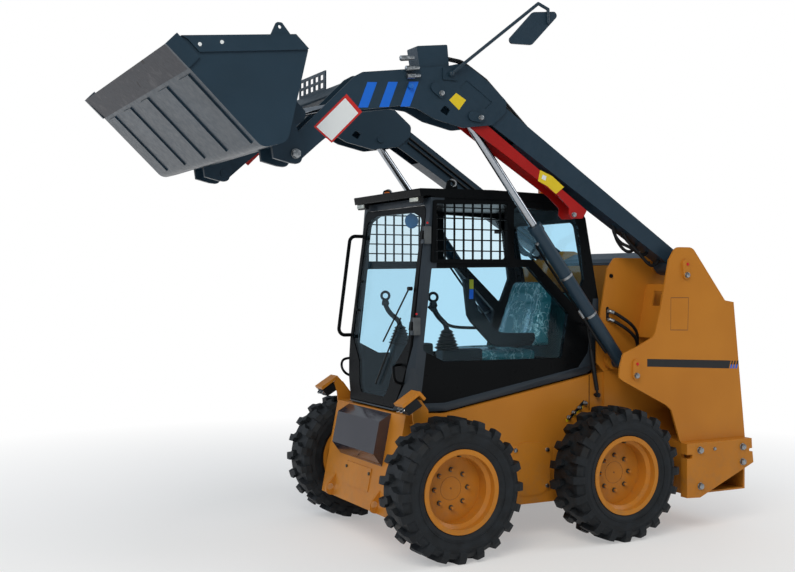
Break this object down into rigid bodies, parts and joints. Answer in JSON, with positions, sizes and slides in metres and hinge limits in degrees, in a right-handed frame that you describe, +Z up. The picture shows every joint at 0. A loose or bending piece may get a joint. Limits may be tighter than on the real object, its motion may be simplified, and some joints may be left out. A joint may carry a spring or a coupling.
{
  "type": "skid steer loader",
  "caption": "Compact wheeled skid steer loader with radial lift arms, a raised bucket on a quick coupler, glazed cab and rear engine bay.",
  "frame": {"origin": "on the ground under the middle of the machine's box", "axes": "+Z up, -Y forward along the machine, +X to the machine's left"},
  "size_m": [1.776, 3.706, 3.007],
  "materials": {
    "amber_paint": "semi gloss",
    "blue_grey_paint": "semi gloss",
    "black_paint": "satin",
    "red_paint": "semi gloss",
    "bare_steel": "worn",
    "chrome_rod": "polished",
    "tyre_rubber": "matt",
    "clear_glass": "clear",
    "black_plastic": "satin",
    "seat_vinyl": "satin",
    "orange_lens": "gloss",
    "lamp_black": "gloss",
    "engine_metal": "rough"
  },
  "bodies": {
    "chassis": {"axle_housings": "black_paint", "beacon": "orange_lens", "bolted_covers": "amber_paint", "bumper_plates": "amber_paint", "cab_floor": "black_paint", "cab_front": "black_paint", "cab_rear": "black_paint", "cab_roof": "black_paint", "cab_sides": "black_paint", "cab_strut": "black_plastic", "cab_windows": "clear_glass", "chain_cases": "amber_paint", "chassis_frame": "amber_paint", "engine_block": "engine_metal", "front_step": "blue_grey_paint", "grab_bar": "black_paint", "hood_bulkhead": "amber_paint", "lamp_posts": "amber_paint", "operator_controls": "black_plastic", "pivot_pins": "bare_steel", "seat_backrest": "seat_vinyl", "seat_base": "black_paint", "seat_cushion": "seat_vinyl", "tie_down_rings": "amber_paint", "tower_left": "amber_paint", "tower_right": "amber_paint", "window_guards": "black_paint", "work_lights": "lamp_black"},
    "cab_door": {"cab_door": "black_paint", "door_glass": "clear_glass"},
    "rear_door": {"rear_door": "amber_paint"},
    "rear_hood": {"rear_hood": "blue_grey_paint"},
    "lift_arms": {"lift_arm_left": "blue_grey_paint", "lift_arm_right": "blue_grey_paint", "arm_crossmember": "blue_grey_paint", "coupler_guard": "blue_grey_paint", "arm_pins": "bare_steel", "mirror_left": "black_plastic", "boom_hoses": "black_plastic"},
    "bucket": {"coupler_frame": "blue_grey_paint", "bucket_shell": "blue_grey_paint", "cutting_edge": "bare_steel"},
    "safety_brace": {"safety_brace": "red_paint"},
    "lift_barrel_left": {"lift_barrel_left": "blue_grey_paint"},
    "lift_rod_left": {"lift_rod_left": "chrome_rod"},
    "tilt_barrel_left": {"tilt_barrel_left": "blue_grey_paint"},
    "tilt_rod_left": {"tilt_rod_left": "chrome_rod"},
    "lift_barrel_right": {"lift_barrel_right": "blue_grey_paint"},
    "lift_rod_right": {"lift_rod_right": "chrome_rod"},
    "tilt_barrel_right": {"tilt_barrel_right": "blue_grey_paint"},
    "tilt_rod_right": {"tilt_rod_right": "chrome_rod"},
    "wheel_front_left": {"tyre_front_left": "tyre_rubber", "rim_front_left": "amber_paint"},
    "wheel_front_right": {"tyre_front_right": "tyre_rubber", "rim_front_right": "amber_paint"},
    "wheel_rear_left": {"tyre_rear_left": "tyre_rubber", "rim_rear_left": "amber_paint"},
    "wheel_rear_right": {"tyre_rear_right": "tyre_rubber", "rim_rear_right": "amber_paint"}
  },
  "joints": [
    {"name": "lift_arms_hinge", "type": "hinge", "parent": "chassis", "child": "lift_arms", "pos_m": [0, 1.337, 1.591], "axis": [-1, 0, 0], "range_deg": [-45, 23]},
    {"name": "bucket_hinge", "type": "hinge", "parent": "lift_arms", "child": "bucket", "pos_m": [0, -1.129, 2.117], "axis": [1, 0, 0], "range_deg": [-28, 104]},
    {"name": "lift_barrel_hinge_left", "type": "hinge", "parent": "chassis", "child": "lift_barrel_left", "pos_m": [0.56, 0.97, 1.011], "axis": [-1, 0, 0], "range_deg": [-43.25, 22.35]},
    {"name": "lift_rod_slide_left", "type": "slide", "parent": "lift_barrel_left", "child": "lift_rod_left", "axis": [0, -0.6149, 0.7886], "range_m": [-0.507, 0.2606]},
    {"name": "tilt_barrel_hinge_left", "type": "hinge", "parent": "lift_arms", "child": "tilt_barrel_left", "pos_m": [0.56, -0.326, 2.513], "axis": [1, 0, 0], "range_deg": [-1.62, 4.66]},
    {"name": "tilt_rod_slide_left", "type": "slide", "parent": "tilt_barrel_left", "child": "tilt_rod_left", "axis": [0, -0.9724, -0.2335], "range_m": [-0.087, 0.315]},
    {"name": "lift_barrel_hinge_right", "type": "hinge", "parent": "chassis", "child": "lift_barrel_right", "pos_m": [-0.56, 0.97, 1.011], "axis": [-1, 0, 0], "range_deg": [-43.25, 22.35]},
    {"name": "lift_rod_slide_right", "type": "slide", "parent": "lift_barrel_right", "child": "lift_rod_right", "axis": [0, -0.6149, 0.7886], "range_m": [-0.507, 0.2606]},
    {"name": "tilt_barrel_hinge_right", "type": "hinge", "parent": "lift_arms", "child": "tilt_barrel_right", "pos_m": [-0.56, -0.326, 2.513], "axis": [1, 0, 0], "range_deg": [-1.62, 4.66]},
    {"name": "tilt_rod_slide_right", "type": "slide", "parent": "tilt_barrel_right", "child": "tilt_rod_right", "axis": [0, -0.9724, -0.2335], "range_m": [-0.087, 0.315]},
    {"name": "cab_door_hinge", "type": "hinge", "parent": "chassis", "child": "cab_door", "pos_m": [0.412, -0.33657, 1.239], "axis": [0, 0.1322, 0.9912], "range_deg": [0, 95]},
    {"name": "rear_door_hinge", "type": "hinge", "parent": "chassis", "child": "rear_door", "pos_m": [-0.462, 1.85, 0.33], "axis": [0, 0, 1], "range_deg": [0, 105]},
    {"name": "rear_hood_hinge", "type": "hinge", "parent": "chassis", "child": "rear_hood", "pos_m": [0, 1.27, 1.602], "axis": [1, 0, 0], "range_deg": [0, 60]},
    {"name": "safety_brace_hinge", "type": "hinge", "parent": "lift_arms", "child": "safety_brace", "pos_m": [0.56, -0.095, 2.377], "axis": [-1, 0, 0], "range_deg": [0, 6]},
    {"name": "wheel_front_left_spin", "type": "hinge", "parent": "chassis", "child": "wheel_front_left", "pos_m": [0.6555, -0.2325, 0.381], "axis": [1, 0, 0], "continuous": true},
    {"name": "wheel_front_right_spin", "type": "hinge", "parent": "chassis", "child": "wheel_front_right", "pos_m": [-0.6555, -0.2325, 0.381], "axis": [1, 0, 0], "continuous": true},
    {"name": "wheel_rear_left_spin", "type": "hinge", "parent": "chassis", "child": "wheel_rear_left", "pos_m": [0.6555, 0.8565, 0.381], "axis": [1, 0, 0], "continuous": true},
    {"name": "wheel_rear_right_spin", "type": "hinge", "parent": "chassis", "child": "wheel_rear_right", "pos_m": [-0.6555, 0.8565, 0.381], "axis": [1, 0, 0], "continuous": true}
  ],
  "couplings": [
    {"joint": "lift_barrel_hinge_left", "follows": "lift_arms_hinge", "ratio": 0.95},
    {"joint": "lift_rod_slide_left", "follows": "lift_arms_hinge", "m_per_rad": 0.64171},
    {"joint": "tilt_barrel_hinge_left", "follows": "bucket_hinge", "ratio": 0.04},
    {"joint": "tilt_rod_slide_left", "follows": "bucket_hinge", "m_per_rad": 0.17189},
    {"joint": "lift_barrel_hinge_right", "follows": "lift_arms_hinge", "ratio": 0.95},
    {"joint": "lift_rod_slide_right", "follows": "lift_arms_hinge", "m_per_rad": 0.64171},
    {"joint": "tilt_barrel_hinge_right", "follows": "bucket_hinge", "ratio": 0.04},
    {"joint": "tilt_rod_slide_right", "follows": "bucket_hinge", "m_per_rad": 0.17189}
  ]
}
